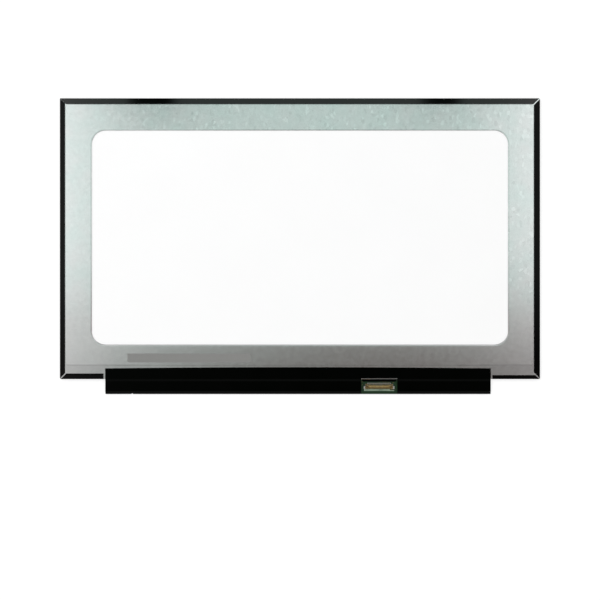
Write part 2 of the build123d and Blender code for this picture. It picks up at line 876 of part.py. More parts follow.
def make_connector_housing():
    z_inner = shell_height - shell_t
    base_half = body_half - shell_t - contact_clear
    end_half = body_half + rear_shoulder - shell_t - contact_clear
    ear_half = body_half + housing_ear
    end_inner = step_half - shell_t
    wall_front = housing_back - housing_rear_wall
    housing = plate((-base_half, base_half), (housing_front, housing_back), (0, housing_base))
    housing += plate((-end_half, end_half), (housing_end_front, housing_back), (0, housing_base))
    housing += plate((-end_inner, end_inner), (wall_front, housing_back), (0, z_inner))
    for side in (-1, 1):
        end_x = tuple(sorted((side * end_inner, side * end_half)))
        ear_x = tuple(sorted((side * end_inner, side * ear_half)))
        housing += plate(end_x, (housing_end_front, block_depth), (0, z_inner))
        housing += plate(ear_x, (housing_end_front, housing_end_back), (0, housing_ear_t))
    slot_half = contact_width / 2 + contact_clear
    slot_z = (housing_base, housing_base + contact_t + contact_clear)
    for x in row(contact_count, contact_pitch):
        housing -= plate((x - slot_half, x + slot_half), (wall_front, housing_back), slot_z)
    return connector_place * housing


def make_connector_contacts():
    section = [
        (contact_start, housing_base),
        (contact_drop, housing_base),
        (contact_drop, 0),
        (contact_end, 0),
        (contact_end, contact_t),
        (contact_drop + contact_t, contact_t),
        (contact_drop + contact_t, housing_base + contact_t),
        (contact_start, housing_base + contact_t),
    ]
    contact = run_along_x(section, (-contact_width / 2, contact_width / 2))
    places = row(contact_count, contact_pitch)
    return group([connector_place * Pos(x, 0, 0) * contact for x in places])


def make_connector_tape():
    half = tab_half + connector_tape_reach
    y_limits = (connector_y + contact_end + connector_tape_gap, board_y[1] - connector_tape_margin)
    return plate((connector_x - half, connector_x + half), y_limits, (z_board, z_board + connector_tape_t))


pieces = {
    "front_polarizer": make_front_polarizer(),
    "colour_filter_glass": make_colour_filter_glass(),
    "array_glass": make_array_glass(),
    "rear_polarizer": make_rear_polarizer(),
    "cell_tape": make_cell_tape(),
    "mold_frame": make_mold_frame(),
    "upper_prism_sheet": make_sheet(z_sheets, prism_t),
    "lower_prism_sheet": make_sheet(z_lower_prism, prism_t),
    "diffuser_sheet": make_sheet(z_diffuser, diffuser_t),
    "light_guide_plate": make_light_guide_plate(),
    "reflector_sheet": make_reflector_sheet(),
    "leds": make_leds(),
    "led_flex": make_led_flex(),
    "led_bar_tape": make_led_bar_tape(),
    "back_cover": make_back_cover(),
    "tape_top": make_tape_top(),
    "tape_left": make_tape_left(),
    "tape_right": make_tape_right(),
    "tape_bottom_left": make_tape_bottom_left(),
    "tape_bottom_right": make_tape_bottom_right(),
    "driver_films": make_driver_films(),
    "driver_chips": make_driver_chips(),
    "front_shield_tape": make_front_shield_tape(),
    "control_board": make_control_board(),
    "timing_controller": make_chip(controller_x, controller_size, controller_size, controller_t),
    "power_chip": make_chip(power_chip_x, power_chip_size, power_chip_size, power_chip_t),
    "led_driver_chip": make_chip(led_driver_x, led_driver_size, led_driver_size, led_driver_t),
    "flash_chip": make_chip(flash_x, flash_length, flash_width, flash_t),
    "inductors": make_inductors(),
    "capacitors": make_small_parts(capacitor_offset, capacitor_length, capacitor_width, capacitor_t),
    "resistors": make_small_parts(resistor_offset, resistor_length, resistor_width, resistor_t),
    "connector_shell": make_connector_shell(),
    "connector_housing": make_connector_housing(),
    "connector_contacts": make_connector_contacts(),
    "connector_tape": make_connector_tape(),
    "board_cover_film": make_board_cover_film(),
}

os.makedirs("parts", exist_ok=True)
for node, shape in pieces.items():
    export_step(shape, f"parts/{node}.step")
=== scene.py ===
import math
import random

import bmesh
import bpy
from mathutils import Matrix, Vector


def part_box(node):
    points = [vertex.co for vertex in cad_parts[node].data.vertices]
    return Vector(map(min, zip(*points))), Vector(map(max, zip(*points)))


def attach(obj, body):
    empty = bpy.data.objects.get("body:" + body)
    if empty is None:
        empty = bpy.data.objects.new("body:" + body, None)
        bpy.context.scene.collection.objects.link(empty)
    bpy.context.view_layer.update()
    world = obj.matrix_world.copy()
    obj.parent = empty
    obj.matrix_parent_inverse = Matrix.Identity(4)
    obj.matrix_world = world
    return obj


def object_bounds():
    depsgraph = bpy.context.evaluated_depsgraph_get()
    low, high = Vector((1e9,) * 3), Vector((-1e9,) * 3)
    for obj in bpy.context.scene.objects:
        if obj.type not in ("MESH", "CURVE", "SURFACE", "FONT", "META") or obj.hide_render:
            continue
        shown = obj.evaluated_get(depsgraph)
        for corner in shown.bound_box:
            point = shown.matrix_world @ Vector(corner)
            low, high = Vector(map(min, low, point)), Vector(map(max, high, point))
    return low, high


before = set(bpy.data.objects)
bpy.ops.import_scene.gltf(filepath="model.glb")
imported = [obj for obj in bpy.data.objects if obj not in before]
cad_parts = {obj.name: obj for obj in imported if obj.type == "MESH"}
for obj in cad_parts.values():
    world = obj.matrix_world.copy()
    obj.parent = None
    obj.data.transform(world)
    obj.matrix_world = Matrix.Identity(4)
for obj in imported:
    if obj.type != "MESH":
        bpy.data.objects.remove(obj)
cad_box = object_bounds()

MM = 0.001
X, Y, Z = range(3)
SIDES = (-1, 1)
SEED = 7
rng = random.Random(SEED)


def grey(level):
    return (level, level, level)


WHITE = grey(1.0)
BLACK = grey(0.0)


def tones(colour, spread):
    """A darker and a lighter tone of a colour."""
    return [tuple(part * (1 + side * spread) for part in colour) for side in SIDES]


def in_mm(corner):
    """A corner of a box, in millimetres."""
    return [part / MM for part in corner]


# The photograph's frame, in its own pixels: where the outline of the panel lies in it
PHOTO_SIDE = 600
PHOTO_LEFT = 59.92
PHOTO_RIGHT = 540.00
PHOTO_TOP = 98.28
LENS = 85.0
SENSOR = 36.0

# Camera, straight above the back of the panel
panel_low, panel_high = cad_box
metres_per_pixel = (panel_high.x - panel_low.x) / (PHOTO_RIGHT - PHOTO_LEFT)
view_x = panel_low.x + (PHOTO_SIDE / 2 - PHOTO_LEFT) * metres_per_pixel
view_y = panel_high.y - (PHOTO_SIDE / 2 - PHOTO_TOP) * metres_per_pixel
distance = PHOTO_SIDE * metres_per_pixel * LENS / SENSOR

camera_data = bpy.data.cameras.new("camera")
camera_data.lens = LENS
camera_data.sensor_width = SENSOR
camera = bpy.data.objects.new("camera", camera_data)
camera.location = (view_x, view_y, panel_high.z + distance)
bpy.context.collection.objects.link(camera)
bpy.context.scene.camera = camera
bpy.context.scene.view_settings.view_transform = "Standard"


class Nodes:
    """Helpers that add nodes to one tree. A value is a plain number, a colour, or another node's output."""

    def __init__(self, tree):
        self.tree = tree

    def feed(self, socket, value):
        if isinstance(value, bpy.types.NodeSocket):
            self.tree.links.new(value, socket)
        elif socket.type == "RGBA" and len(value) == 3:
            socket.default_value = (*value, 1.0)
        else:
            socket.default_value = value

    def node(self, kind, inputs=None, **settings):
        made = self.tree.nodes.new(kind)
        for name, value in settings.items():
            setattr(made, name, value)
        for name, value in (inputs or {}).items():
            self.feed(made.inputs[name], value)
        return made

    def math(self, operation, first, second=0.0):
        return self.node("ShaderNodeMath", {0: first, 1: second}, operation=operation).outputs[0]

    def between(self, value, low, high, start=0.0, end=1.0, how="LINEAR"):
        """Carries a value from the range start to end over to the range low to high."""
        limits = {"Value": value, "From Min": start, "From Max": end, "To Min": low, "To Max": high}
        return self.node("ShaderNodeMapRange", limits, interpolation_type=how).outputs[0]

    def ramp(self, value, *stops):
        """Colour from a value, by stops of (place, colour)."""
        made = self.node("ShaderNodeValToRGB", {"Fac": value})
        elements = made.color_ramp.elements
        while len(elements) < len(stops):
            elements.new(0.5)
        for element, (place, colour) in zip(elements, stops):
            element.position = place
            element.color = (*colour, 1.0)
        return made.outputs["Color"]

    def blend(self, factor, first, second, how="MIX"):
        settings = {"data_type": "RGBA", "blend_type": how}
        return self.node("ShaderNodeMix", {0: factor, 6: first, 7: second}, **settings).outputs[2]


class Surface(Nodes):
    """A material under construction: its shader, and the patterns that feed it."""

    def __init__(self, name, **constants):
        self.material = bpy.data.materials.new(name)
        self.material.use_nodes = True
        super().__init__(self.material.node_tree)
        self.shader = self.tree.nodes["Principled BSDF"]
        self.place = self.node("ShaderNodeTexCoord").outputs["Object"]
        self.normal = None
        for socket, value in constants.items():
            self.shader.inputs[socket.replace("_", " ")].default_value = value

    def scaled(self, size, stretch):
        scale = [factor / (size * MM) for factor in stretch]
        return self.node("ShaderNodeMapping", {"Vector": self.place, "Scale": scale}).outputs[0]

    def noise(self, size, detail=2.0, stretch=(1, 1, 1)):
        """Noise with features of about size millimetres, longer along an axis with a small stretch."""
        inputs = {"Vector": self.scaled(size, stretch), "Scale": 1.0, "Detail": detail}
        return self.node("ShaderNodeTexNoise", inputs).outputs["Fac"]

    def crystals(self, size, stretch=(1, 1, 1)):
        """A random number for each crystal of about size millimetres."""
        inputs = {"Vector": self.scaled(size, stretch), "Scale": 1.0}
        tint = self.node("ShaderNodeTexVoronoi", inputs).outputs["Color"]
        return self.node("ShaderNodeSeparateColor", {"Color": tint}).outputs[0]

    def along(self, axis, start, end):
        """0 to 1 between two places, in millimetres, along an axis."""
        part = self.node("ShaderNodeSeparateXYZ", {"Vector": self.place}).outputs[axis]
        return self.between(part, 0.0, 1.0, start * MM, end * MM)

    def within(self, low, high, edge):
        """1 inside a rectangle given by two corners in millimetres, 0 outside it."""
        sides = []
        for axis in (X, Y):
            sides.append(self.along(axis, low[axis] - edge, low[axis]))
            sides.append(self.along(axis, high[axis] + edge, high[axis]))
        inside = sides[0]
        for side in sides[1:]:
            inside = self.math("MINIMUM", inside, side)
        return inside

    def upright(self):
        """1 where the surface faces straight up, 0 where it stands upright."""
        normal = self.node("ShaderNodeNewGeometry").outputs["True Normal"]
        return self.node("ShaderNodeSeparateXYZ", {"Vector": normal}).outputs[Z]

    def shade(self, base, value, darkest, amount=1.0):
        """Darkens a colour where a pattern is low."""
        tone = self.ramp(value, (0.3, grey(darkest)), (0.7, WHITE))
        return self.blend(amount, base, tone, "MULTIPLY")

    def colour(self, value):
        self.feed(self.shader.inputs["Base Color"], value)

    def rough(self, value, low, high):
        self.feed(self.shader.inputs["Roughness"], self.between(value, low, high))

    def soften(self, radius):
        """Lets edges catch the light as if rounded to a radius in millimetres."""
        self.normal = self.node("ShaderNodeBevel", {"Radius": radius * MM}).outputs[0]
        self.feed(self.shader.inputs["Normal"], self.normal)

    def bump(self, height, depth, strength=1.0):
        """Adds relief of about depth millimetres."""
        inputs = {"Height": height, "Distance": depth * MM, "Strength": strength}
        if self.normal is not None:
            inputs["Normal"] = self.normal
        self.normal = self.node("ShaderNodeBump", inputs).outputs[0]
        self.feed(self.shader.inputs["Normal"], self.normal)


# Where the cover's look changes: an axis, and two places along it in millimetres from the panel's middle.
# The tint, bend, foot and margin places bound a painted reflection and painted shade
REFLECTION_TINT_FADES_BELOW = (Y, -32.0, -54.0)
FLECKS_GROW = (Y, -76.0, -50.0)
SPANGLE_GROWS_UP = (Y, -64.0, -30.0)
SPANGLE_GROWS_RIGHT = (X, -160.0, -80.0)
LOWER_BEND_SHADE = (Y, 10.0, -40.0)
FOOT_SHADE = (Y, -74.0, -86.0)
FIELD_EDGE = (Y, -86.4, -85.9)
MARGIN_SHADE_LEFT_END = (X, -106.0, -126.0)
MARGIN_SHADE_RIGHT_END = (X, 112.0, 140.0)


def make_steel():
    """Zinc-coated sheet: cloudy tint with a painted reflection, crystal flecks, fine rolling marks, and
    painted shade on the bends, the foot and the lower margin.
    """
    steel = Surface("steel", Metallic=1.0)

    # cloudy tint, with a painted reflection in it: greenish above and neutral below
    cloud = steel.noise(14.0, 3.0)
    tinted = steel.ramp(cloud, (0.32, (0.830, 0.900, 0.885)), (0.68, (0.872, 0.895, 0.890)))
    plain = steel.ramp(cloud, (0.32, (0.853, 0.864, 0.861)), (0.68, (0.873, 0.873, 0.871)))
    base = steel.blend(steel.along(*REFLECTION_TINT_FADES_BELOW), tinted, plain)

    # small flecks all over, and crystals that stand out towards the top and the right
    flecks = steel.noise(3.4, 2.0)
    fleck_amount = steel.between(steel.along(*FLECKS_GROW), 0.45, 1.0)
    base = steel.shade(base, flecks, 0.945, fleck_amount)
    crystals = steel.crystals(2.2, stretch=(1.2, 0.8, 0.3))
    spangle = steel.ramp(crystals, (0.0, grey(0.92)), (0.14, WHITE), (0.84, WHITE), (1.0, grey(1.11)))
    rightward = steel.between(steel.along(*SPANGLE_GROWS_RIGHT), 0.25, 1.0)
    spangle_amount = steel.math("MULTIPLY", steel.along(*SPANGLE_GROWS_UP), rightward)
    base = steel.blend(spangle_amount, base, spangle, "MULTIPLY")

    # fine marks along the rolling direction
    rolling = steel.noise(0.4, 2.0, stretch=(0.2, 1.0, 1.0))
    base = steel.shade(base, rolling, 0.98)

    # painted shade on the bends, toned by their slope, and more painted shade on those of the lower part
    slope = steel.upright()
    bends = steel.ramp(
        slope, (0.50, (0.80, 0.79, 0.79)), (0.80, grey(0.92)), (0.972, (0.82, 0.80, 0.80)), (0.995, WHITE),
    )
    base = steel.blend(1.0, base, bends, "MULTIPLY")
    # painted shade, once more, on the bends of the lower part
    dull = steel.ramp(slope, (0.972, (0.84, 0.80, 0.81)), (0.998, (0.84, 0.79, 0.80)), (0.9995, WHITE))
    base = steel.blend(steel.along(*LOWER_BEND_SHADE), base, dull, "MULTIPLY")

    # painted shade: a darker foot, and below the raised field a margin that is darkest at its ends
    foot = steel.ramp(steel.along(*FOOT_SHADE), (0.0, WHITE), (1.0, grey(0.955)))
    base = steel.blend(1.0, base, foot, "MULTIPLY")
    ends = steel.math("MAXIMUM", steel.along(*MARGIN_SHADE_LEFT_END), steel.along(*MARGIN_SHADE_RIGHT_END))
    margin = steel.blend(1.0, base, steel.ramp(ends, (0.0, grey(0.98)), (1.0, grey(0.86))), "MULTIPLY")
    steel.colour(steel.blend(steel.along(*FIELD_EDGE), margin, base))

    steel.rough(flecks, 0.12, 0.15)
    steel.bump(cloud, 0.02, 0.2)
    steel.bump(rolling, 0.002, 0.2)
    return steel.material


def make_tape(name, colour, gloss, rough):
    """Black polyester tape: slow changes of tone along it, a fine tooth, and shallow ripples."""
    tape = Surface(name, Specular_IOR_Level=gloss)
    slow = tape.noise(26.0, 2.0)
    low, high = tones(colour, 0.4)
    tape.colour(tape.ramp(slow, (0.36, low), (0.62, high)))
    tape.rough(slow, rough, rough + 0.02)
    tape.bump(tape.noise(9.0, 1.0), 0.02, 0.2)
    tape.bump(tape.noise(0.35, 2.0), 0.001, 0.2)
    return tape.material


def make_film():
    """Matte black insulating film, not quite flat."""
    film = Surface("board_film", Specular_IOR_Level=0.035)
    slow = film.noise(18.0, 2.0)
    film.colour(film.ramp(slow, (0.3, (0.0002, 0.0005, 0.0002)), (0.7, (0.0005, 0.0007, 0.0005))))
    film.rough(film.noise(0.6, 2.0), 0.11, 0.15)
    film.bump(film.noise(14.0, 2.0), 0.05, 0.3)
    film.bump(film.noise(0.3, 1.0), 0.002, 0.4)
    return film.material


def make_reflector():
    """White reflector film: bright, faintly clouded, with a fine pearl tooth."""
    white = Surface("reflector_white", Specular_IOR_Level=0.3)
    cloud = white.noise(40.0, 3.0)
    white.colour(white.ramp(cloud, (0.3, grey(0.945)), (0.7, grey(0.955))))
    white.rough(cloud, 0.45, 0.55)
    white.bump(white.noise(0.25, 2.0), 0.003, 0.4)
    return white.material


MOTTLE_TO_GRAIN = 6


def make_plain(name, colour, spread, grain, rough_low, rough_high, relief=0.004, **constants):
    """A moulded, printed or coated surface: mottled tone, uneven gloss and a fine grain."""
    plain = Surface(name, **constants)
    mottle = plain.noise(grain * MOTTLE_TO_GRAIN, 3.0)
    low, high = tones(colour, spread)
    plain.colour(plain.ramp(mottle, (0.3, low), (0.7, high)))
    fine = plain.noise(grain, 2.0)
    plain.rough(fine, rough_low, rough_high)
    plain.bump(fine, relief, 0.5)
    return plain.material


# Width of the black border along the front polarizer's edges, and of its blurred inner edge, in millimetres
BORDER_MASK = 1.32
BORDER_MASK_EDGE = 0.05


def make_polarizer():
    """Anti-glare polarizer: dark grey over the picture, black over the border, with a fine sparkle."""
    screen = Surface("polarizer", Specular_IOR_Level=0.4)
    low, high = (in_mm(corner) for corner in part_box("front_polarizer"))
    picture_low = [part + BORDER_MASK for part in low]
    picture_high = [part - BORDER_MASK for part in high]
    picture = screen.within(picture_low, picture_high, BORDER_MASK_EDGE)
    sparkle = screen.noise(0.08, 1.0)
    dark_grey = screen.ramp(sparkle, (0.3, (0.0085, 0.0090, 0.0100)), (0.7, (0.0115, 0.0120, 0.0130)))
    screen.colour(screen.blend(picture, (0.0028, 0.0028, 0.0030), dark_grey))
    screen.rough(sparkle, 0.26, 0.36)
    screen.bump(sparkle, 0.002, 0.4)
    return screen.material


def make_gold():
    """Thin gold over stamped metal: draw marks along the press stroke, uneven gloss, softened edges."""
    gold = Surface("gold_plate", Metallic=1.0)
    marks = gold.noise(0.25, 3.0, stretch=(1.0, 0.12, 1.0))
    spots = gold.noise(1.6, 2.0)
    base = gold.ramp(spots, (0.3, (0.55, 0.41, 0.17)), (0.7, (0.66, 0.51, 0.23)))
    gold.colour(gold.shade(base, marks, 0.84))
    gold.rough(spots, 0.10, 0.17)
    gold.soften(0.05)
    gold.bump(marks, 0.004, 0.3)
    return gold.material


def make_solder():
    """Dull grey solder with an uneven skin."""
    solder = Surface("solder", Metallic=1.0)
    dull = solder.noise(0.25, 3.0)
    solder.colour(solder.ramp(dull, (0.3, (0.33, 0.33, 0.31)), (0.7, (0.46, 0.46, 0.435))))
    solder.rough(dull, 0.22, 0.45)
    solder.bump(dull, 0.01, 0.4)
    return solder.material


WEAVE_SCALE = 1800.0
WEAVE_GAP = 0.06


def make_laminate():
    """Solder mask over bare glass-fibre laminate, with its weave just showing."""
    board = Surface("board_laminate", Specular_IOR_Level=0.2)
    mottle = board.noise(1.5, 3.0)
    weave = {
        "Vector": board.place,
        "Color1": WHITE,
        "Color2": grey(0.92),
        "Mortar": grey(0.86),
        "Scale": WEAVE_SCALE,
        "Mortar Size": WEAVE_GAP,
    }
    strands = board.node("ShaderNodeTexBrick", weave)
    base = board.ramp(mottle, (0.3, (0.003, 0.016, 0.007)), (0.7, (0.006, 0.026, 0.012)))
    board.colour(board.blend(0.7, base, strands.outputs["Color"], "MULTIPLY"))
    board.rough(mottle, 0.30, 0.45)
    board.bump(strands.outputs["Fac"], 0.003, 0.4)
    return board.material


# Tapes: name, colour, gloss, lowest roughness
# Plain finishes: name, colour, spread of tone, grain in millimetres, lowest and highest roughness, and the
# relief in millimetres where it isn't the usual one
finish = {
    "steel": make_steel(),
    "tape": make_tape("edge_tape", (0.0003, 0.0004, 0.0003), 0.145, 0.07),
    # the right tape: a darker, duller copy of the edge tape, with painted shade
    "tape_right": make_tape("edge_tape_right_shaded", (0.0002, 0.0003, 0.0002), 0.095, 0.07),
    "tape_top": make_tape("edge_tape_top", (0.0006, 0.0009, 0.0007), 0.58, 0.03),
    "film": make_film(),
    "reflector": make_reflector(),
    "gold": make_gold(),
    "solder": make_solder(),
    "laminate": make_laminate(),
    "polarizer": make_polarizer(),
    "pour": make_plain(
        "mask_over_copper", (0.008, 0.026, 0.009), 0.25, 0.3, 0.22, 0.32, Specular_IOR_Level=0.2,
    ),
    "apron": make_plain("pale_mask", (0.20, 0.27, 0.195), 0.20, 0.3, 0.30, 0.45),
    "hole": make_plain("plated_hole", (0.006, 0.006, 0.005), 0.3, 0.05, 0.4, 0.6),
    "label": make_plain("blank_label", (0.213, 0.213, 0.205), 0.02, 0.3, 0.45, 0.55, 0.002),
    "glass": make_plain("cell_glass", (0.020, 0.026, 0.024), 0.2, 0.8, 0.05, 0.10, 0.0005),
    "frame": make_plain("frame_plastic", grey(0.010), 0.25, 0.15, 0.45, 0.60),
    "optical": make_plain("optical_film", (0.72, 0.74, 0.75), 0.03, 0.1, 0.25, 0.40),
    "guide": make_plain("light_guide", (0.74, 0.77, 0.76), 0.03, 0.5, 0.08, 0.15, 0.001),
    "foam": make_plain("foam_tape", grey(0.008), 0.3, 0.12, 0.70, 0.85, 0.02),
    "shield": make_plain("shield_tape", grey(0.012), 0.3, 0.2, 0.40, 0.55),
    "adhesive": make_plain("adhesive_tape", (0.55, 0.55, 0.52), 0.05, 0.3, 0.35, 0.50),
    "led": make_plain("led_package", (0.80, 0.76, 0.55), 0.08, 0.2, 0.35, 0.50),
    "flex": make_plain("flex_circuit", (0.30, 0.14, 0.035), 0.2, 0.4, 0.25, 0.40),
    "driver_film": make_plain("driver_film", (0.16, 0.085, 0.022), 0.25, 0.5, 0.20, 0.35),
    "silicon": make_plain("silicon", (0.05, 0.052, 0.06), 0.1, 0.3, 0.12, 0.2, 0.001),
    "moulding": make_plain("chip_moulding", (0.016, 0.016, 0.017), 0.2, 0.12, 0.50, 0.65),
    "ferrite": make_plain("ferrite", (0.045, 0.042, 0.040), 0.15, 0.2, 0.55, 0.70),
    "ceramic": make_plain("chip_ceramic", (0.34, 0.22, 0.12), 0.15, 0.2, 0.40, 0.55),
    "resistor": make_plain("resistor_ceramic", (0.05, 0.05, 0.055), 0.2, 0.15, 0.40, 0.55),
    "housing": make_plain("housing_plastic", (0.055, 0.065, 0.060), 0.15, 0.15, 0.45, 0.60),
}

worn_by = {
    "steel": ["back_cover"],
    "tape": ["tape_left", "tape_bottom_left", "tape_bottom_right"],
    "tape_right": ["tape_right"],
    "tape_top": ["tape_top"],
    "film": ["board_cover_film", "connector_tape"],
    "reflector": ["reflector_sheet"],
    "gold": ["connector_shell", "connector_contacts"],
    "laminate": ["control_board"],
    "polarizer": ["front_polarizer", "rear_polarizer"],
    "glass": ["colour_filter_glass", "array_glass"],
    "frame": ["mold_frame"],
    "optical": ["upper_prism_sheet", "lower_prism_sheet", "diffuser_sheet"],
    "guide": ["light_guide_plate"],
    "foam": ["cell_tape"],
    "shield": ["front_shield_tape"],
    "adhesive": ["led_bar_tape"],
    "led": ["leds"],
    "flex": ["led_flex"],
    "driver_film": ["driver_films"],
    "silicon": ["driver_chips"],
    "moulding": ["timing_controller", "power_chip", "led_driver_chip", "flash_chip"],
    "ferrite": ["inductors"],
    "ceramic": ["capacitors"],
    "resistor": ["resistors"],
    "housing": ["connector_housing"],
}

for kind, names in worn_by.items():
    for name in names:
        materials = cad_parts[name].data.materials
        materials.clear()
        materials.append(finish[kind])


# Meshes and outlines

def add_piece(name, bm, slot, *kinds):
    """Links a mesh built in millimetres, in the shared frame, and says what it rides on."""
    bmesh.ops.recalc_face_normals(bm, faces=bm.faces)
    bmesh.ops.scale(bm, vec=(MM, MM, MM), verts=bm.verts)
    mesh = bpy.data.meshes.new(name)
    bm.to_mesh(mesh)
    bm.free()
    piece = bpy.data.objects.new(name, mesh)
    bpy.context.collection.objects.link(piece)
    for kind in kinds:
        mesh.materials.append(finish[kind])
    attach(piece, "root")


def skin(bm, rings):
    """Smooth faces over a stack of closed rings with equal numbers of points, closed at both ends."""
    made = [[bm.verts.new(point) for point in ring] for ring in rings]
    for lower, upper in zip(made, made[1:]):
        for i in range(len(lower)):
            j = (i + 1) % len(lower)
            bm.faces.new((lower[i], lower[j], upper[j], upper[i])).smooth = True
    bm.faces.new(made[0])
    bm.faces.new(made[-1]).smooth = True


def plate(bm, outline, z, thickness, holes=(), material=0):
    """A flat plate with square edges over an outline, with holes."""
    edges = []
    for loop in (outline, *holes):
        verts = [bm.verts.new((x, y, z)) for x, y in loop]
        edges += [bm.edges.new((verts[i - 1], verts[i])) for i in range(len(verts))]
    faces = bmesh.ops.triangle_fill(bm, use_beauty=True, use_dissolve=False, edges=edges)["geom"]
    faces = [face for face in faces if isinstance(face, bmesh.types.BMFace)]
    grown = bmesh.ops.extrude_face_region(bm, geom=faces)["geom"]
    verts = [part for part in grown if isinstance(part, bmesh.types.BMVert)]
    bmesh.ops.translate(bm, verts=verts, vec=(0, 0, thickness))
    for part in faces + [part for part in grown if isinstance(part, bmesh.types.BMFace)]:
        part.material_index = material


CORNER_STEPS = 5


def rounded(x0, y0, x1, y1, radius, steps=CORNER_STEPS):
    """Outline of a rectangle with rounded corners."""
    corners = (
        (x1 - radius, y1 - radius, 0),
        (x0 + radius, y1 - radius, 90),
        (x0 + radius, y0 + radius, 180),
        (x1 - radius, y0 + radius, 270),
    )
    points = []
    for x, y, start in corners:
        for i in range(steps + 1):
            angle = math.radians(start + 90 * i / steps)
            points.append((x + radius * math.cos(angle), y + radius * math.sin(angle)))
    return points


def circle(x, y, radius, count=14):
    angles = [2 * math.pi * i / count for i in range(count)]
    return [(x + radius * math.cos(angle), y + radius * math.sin(angle)) for angle in angles]


def mirrored(outline, side):
    """An outline of the connector's right end, carried over to the end on a side."""
    return [(side * u, v) for u, v in outline]


def wobbled(outline, wobble, along, across):
    """An outline with its points pushed about by shares of a wobble."""
    return [(u + along * wobble[i], v + across * wobble[-i]) for i, (u, v) in enumerate(outline)]


# Trim round the connector, which the frame has no solids for. Places are (u, v) in millimetres:
# u along the row of contacts from its middle, v from the shell's front edge towards the panel
CONTACT_COUNT = 30
CONTACT_PITCH = 0.5
CONTACT_START = 0.55
contact_row = [(i - (CONTACT_COUNT - 1) / 2) * CONTACT_PITCH for i in range(CONTACT_COUNT)]

board_top = in_mm(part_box("control_board")[1])[Z]
contacts_low, contacts_high = (in_mm(corner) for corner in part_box("connector_contacts"))
connector_x = (contacts_low[X] + contacts_high[X]) / 2
connector_y = contacts_low[Y] - CONTACT_START


def spot(u, v):
    """A place on the board, in the shared frame."""
    return connector_x + u, connector_y + v


def spots(outline):
    return [spot(*point) for point in outline]


def ring_over(outline, height):
    """An outline at a height above the board."""
    return [(*spot(u, v), board_top + height) for u, v in outline]


# Sections of the solder at a contact's foot: v, half width, height
FOOT_SECTIONS = (
    (3.58, 0.125, 0.10),
    (3.72, 0.15, 0.15),
    (3.90, 0.165, 0.19),
    (4.04, 0.165, 0.165),
    (4.16, 0.155, 0.08),
    (4.26, 0.13, 0.02),
)
FOOT_ARC_STEPS = 8
FOOT_SIZES = (0.9, 1.12)
FOOT_LEAN = 0.02
FOOT_LEAN_HEIGHT = 0.2


def add_tail_solder():
    """A fillet of solder round the end of each contact's foot, each a little different."""
    bm = bmesh.new()
    for u in contact_row:
        size = rng.uniform(*FOOT_SIZES)
        lean = rng.uniform(-FOOT_LEAN, FOOT_LEAN)
        rings = []
        for v, half, height in FOOT_SECTIONS:
            middle = u + lean * height / FOOT_LEAN_HEIGHT
            ring = []
            for step in range(FOOT_ARC_STEPS + 1):
                angle = math.pi * step / FOOT_ARC_STEPS
                x, y = spot(middle + half * size * math.cos(angle), v)
                ring.append((x, y, board_top + height * size * math.sin(angle)))
            rings.append(ring)
        skin(bm, rings)
    add_piece("tail_solder", bm, "cover_steel", "solder")


# Rings of a domed puddle: share of the outline, share of the height
DOME = ((1.0, 0.0), (0.95, 0.35), (0.84, 0.66), (0.66, 0.88), (0.40, 0.98), (0.12, 1.0))


def puddle(bm, outline, height, base=0.0):
    """A domed puddle of solder over an outline, on the board or at a height above it."""
    middle_u = sum(point[0] for point in outline) / len(outline)
    middle_v = sum(point[1] for point in outline) / len(outline)
    rings = []
    for share, level in DOME:
        shrunk = [(middle_u + (u - middle_u) * share, middle_v + (v - middle_v) * share) for u, v in outline]
        rings.append(ring_over(shrunk, base + height * level))
    skin(bm, rings)


# Right end tab of the shell: its left, front, right and back limits, and its top above the board
TAB = (9.63, 0.0, 10.70, 1.53)
TAB_TOP = 0.12

# Rings of the solder that climbs the tab's rim: reach beyond the tab, height
CLIMB = (
    (0.46, 0.012),
    (0.40, 0.040),
    (0.28, 0.075),
    (0.16, 0.115),
    (0.05, 0.150),
    (-0.06, 0.160),
    (-0.14, 0.140),
    (-0.18, 0.100),
)
CLIMB_INSET = 0.12
CLIMB_FRONT_SHARE = 0.45
CLIMB_BACK_SHARE = 0.65
CLIMB_CORNER = 0.27

# Puddles at the right end: a smear on the tab, and patches at the shell's rear and front corners
SMEAR = rounded(10.10, 0.42, 10.66, 1.00, 0.25)
SMEAR_HEIGHT = 0.05
SMEAR_WOBBLE = 0.3
REAR_PATCH = rounded(7.85, 3.42, 8.45, 4.22, 0.22)
REAR_PATCH_HEIGHT = 0.30
FRONT_PATCH = rounded(8.75, -0.32, 9.50, -0.02, 0.12)
FRONT_PATCH_HEIGHT = 0.18
WOBBLE = 0.05
WOBBLE_COUNT = 4 * (CORNER_STEPS + 1)


def tab_rim(out):
    """Outline of the solder round the right end tab, at a reach beyond it."""
    left, front, right, back = TAB
    rim_front = front - CLIMB_FRONT_SHARE * out
    rim_back = back + CLIMB_BACK_SHARE * out
    return rounded(left + CLIMB_INSET, rim_front, right + out, rim_back, CLIMB_CORNER)


def add_tab_solder():
    """Solder that climbs the rims of the shell's end tabs, a smear on each, and patches at its corners."""
    bm = bmesh.new()
    for side in SIDES:
        wobble = [rng.uniform(-WOBBLE, WOBBLE) for _ in range(WOBBLE_COUNT)]
        turned = [wobble[-i] for i in range(WOBBLE_COUNT)]
        rings = []
        for out, height in CLIMB:
            rim = wobbled(tab_rim(out), wobble, abs(out), abs(out))
            rings.append(ring_over(mirrored(rim, side), height))
        skin(bm, rings)
        smear = wobbled(SMEAR, turned, SMEAR_WOBBLE, 0.0)
        puddle(bm, mirrored(smear, side), SMEAR_HEIGHT, TAB_TOP)
        rear = wobbled(REAR_PATCH, turned, 1.0, 1.0)
        puddle(bm, mirrored(rear, side), REAR_PATCH_HEIGHT)
        puddle(bm, mirrored(FRONT_PATCH, side), FRONT_PATCH_HEIGHT)
    add_piece("tab_solder", bm, "cover_steel", "solder")


